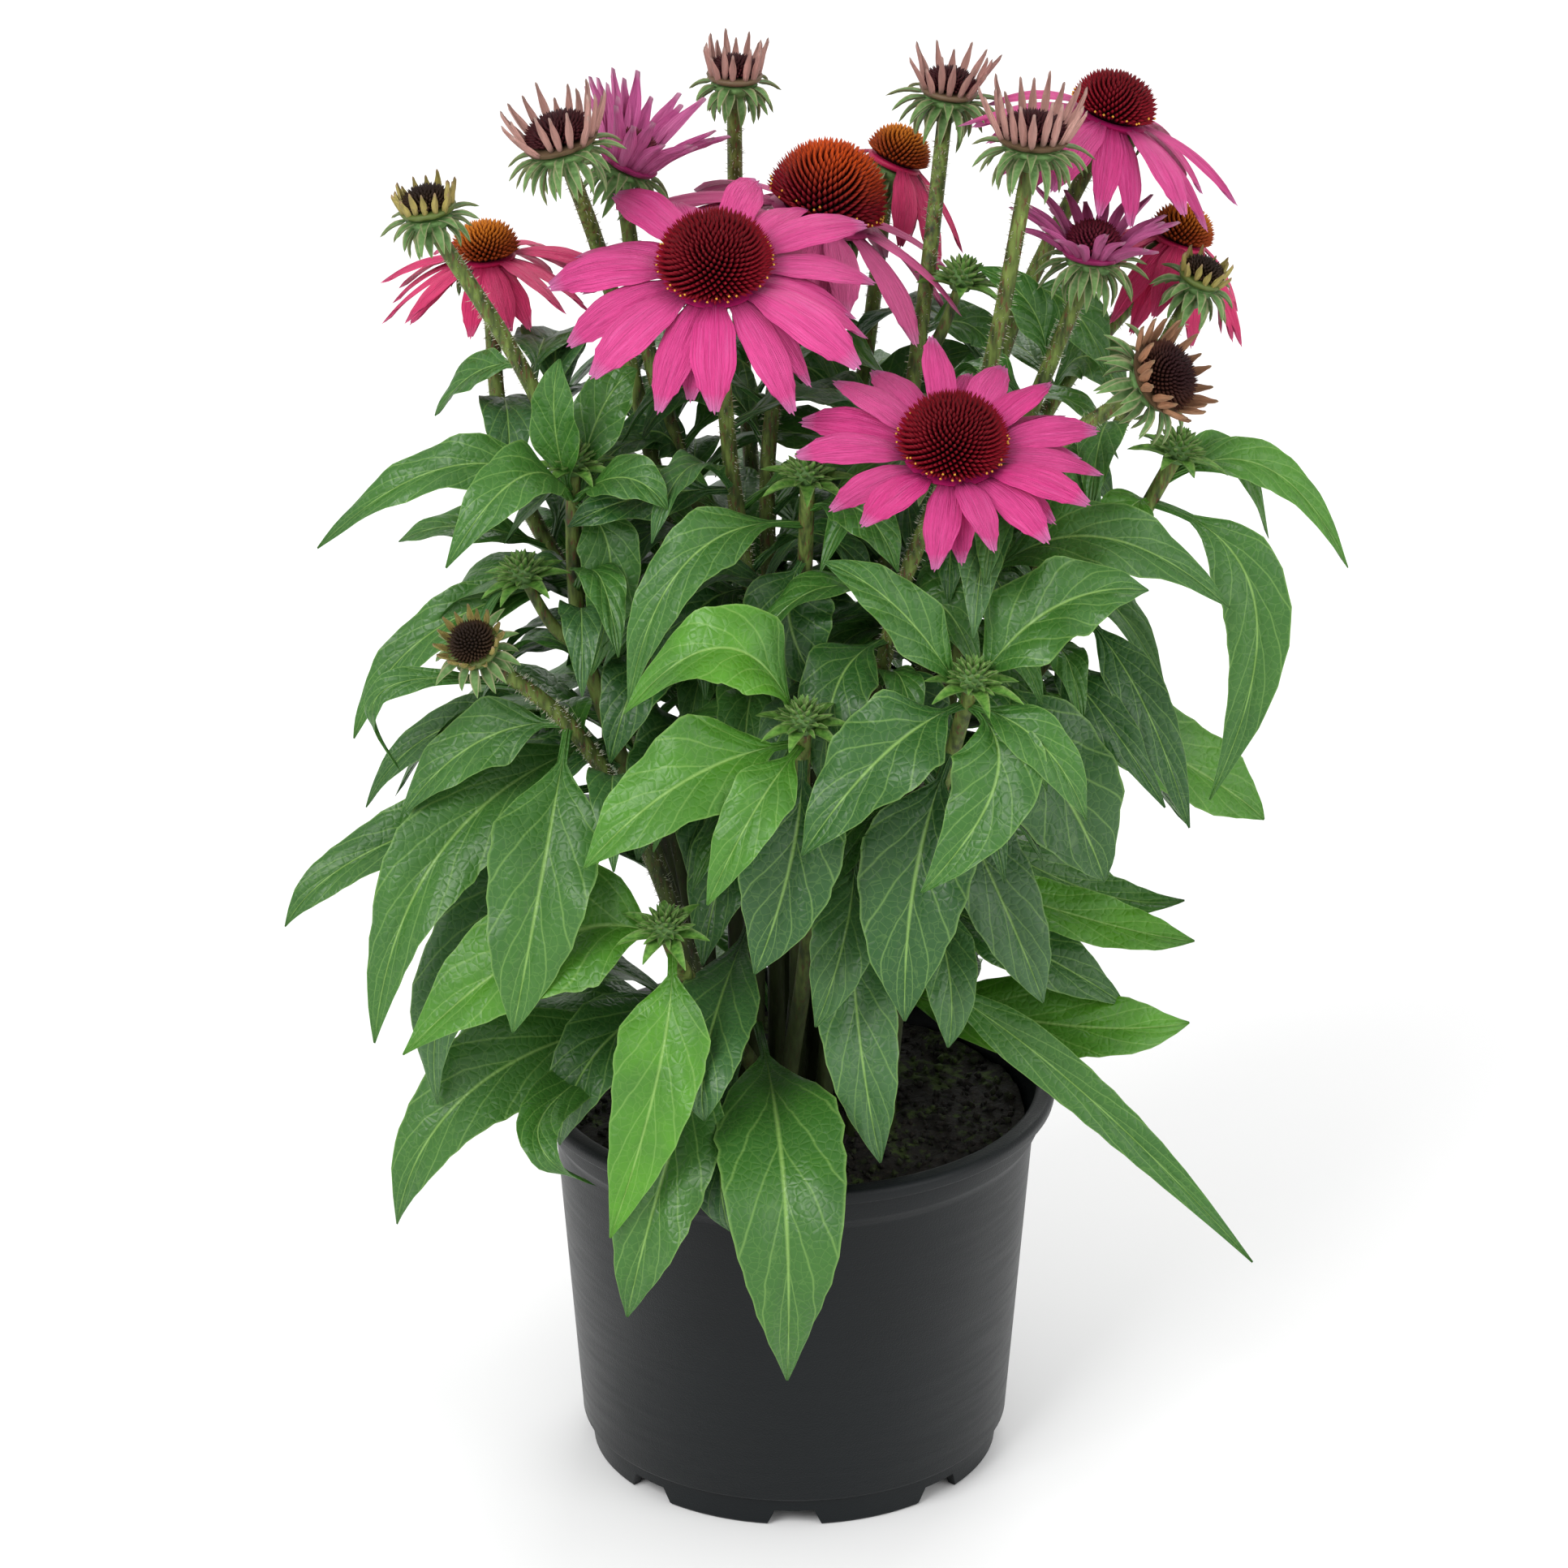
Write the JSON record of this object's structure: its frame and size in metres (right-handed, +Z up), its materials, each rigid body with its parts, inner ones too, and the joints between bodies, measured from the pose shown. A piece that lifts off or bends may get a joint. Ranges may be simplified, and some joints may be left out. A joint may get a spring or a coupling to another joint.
{
  "type": "potted purple coneflower plant",
  "caption": "Purple coneflower plant with leafy stems, pink-rayed domed blooms and shut buds, growing in a round black nursery pot.",
  "frame": {"origin": "centre of the pot's underside, on the surface that it stands on", "axes": "+Z up the plant; the picture was taken from the -Y side, with +X to its right"},
  "size_m": [0.3757, 0.2627, 0.531],
  "materials": {
    "pot": "charcoal black moulded plastic with a soft sheen on the lip",
    "soil": "dark crumbly peat with flecks of moss and bark",
    "green": "soft matte green leaf, with olive hairy stems",
    "rays": "silky magenta pink, grooved lengthwise",
    "cone": "bristly crimson and dark maroon"
  },
  "bodies": {
    "root": {"pot": "pot", "soil": "soil", "stem_a": "green", "stem_b": "green", "stem_c": "green", "stem_d": "green", "stem_e": "green", "stem_f": "green", "stem_g": "green", "stem_h": "green", "stem_i": "green", "stem_j": "green", "stem_k": "green", "stem_l": "green", "stem_m": "green", "stem_n": "green", "stem_o": "green", "stem_p": "green", "stem_q": "green", "stem_r": "green", "stem_s": "green", "stem_t": "green", "stem_u": "green", "stem_x": "green", "stem_y": "green", "rays_a": "rays", "rays_b": "rays", "rays_c": "rays", "rays_d": "rays", "rays_e": "rays", "rays_f": "rays", "rays_g": "rays", "rays_h": "rays", "rays_i": "rays", "rays_j": "rays", "rays_k": "rays", "rays_l": "rays", "rays_m": "rays", "rays_n": "rays", "rays_o": "rays", "rays_p": "rays", "rays_q": "rays", "cone_a": "cone", "cone_b": "cone", "cone_c": "cone", "cone_d": "cone", "cone_e": "cone", "cone_f": "cone", "cone_g": "cone", "cone_h": "cone", "cone_i": "cone", "cone_j": "cone", "cone_k": "cone", "cone_l": "cone", "cone_m": "cone", "cone_n": "cone", "cone_o": "cone", "cone_p": "cone", "cone_q": "cone"}
  },
  "joints": []
}
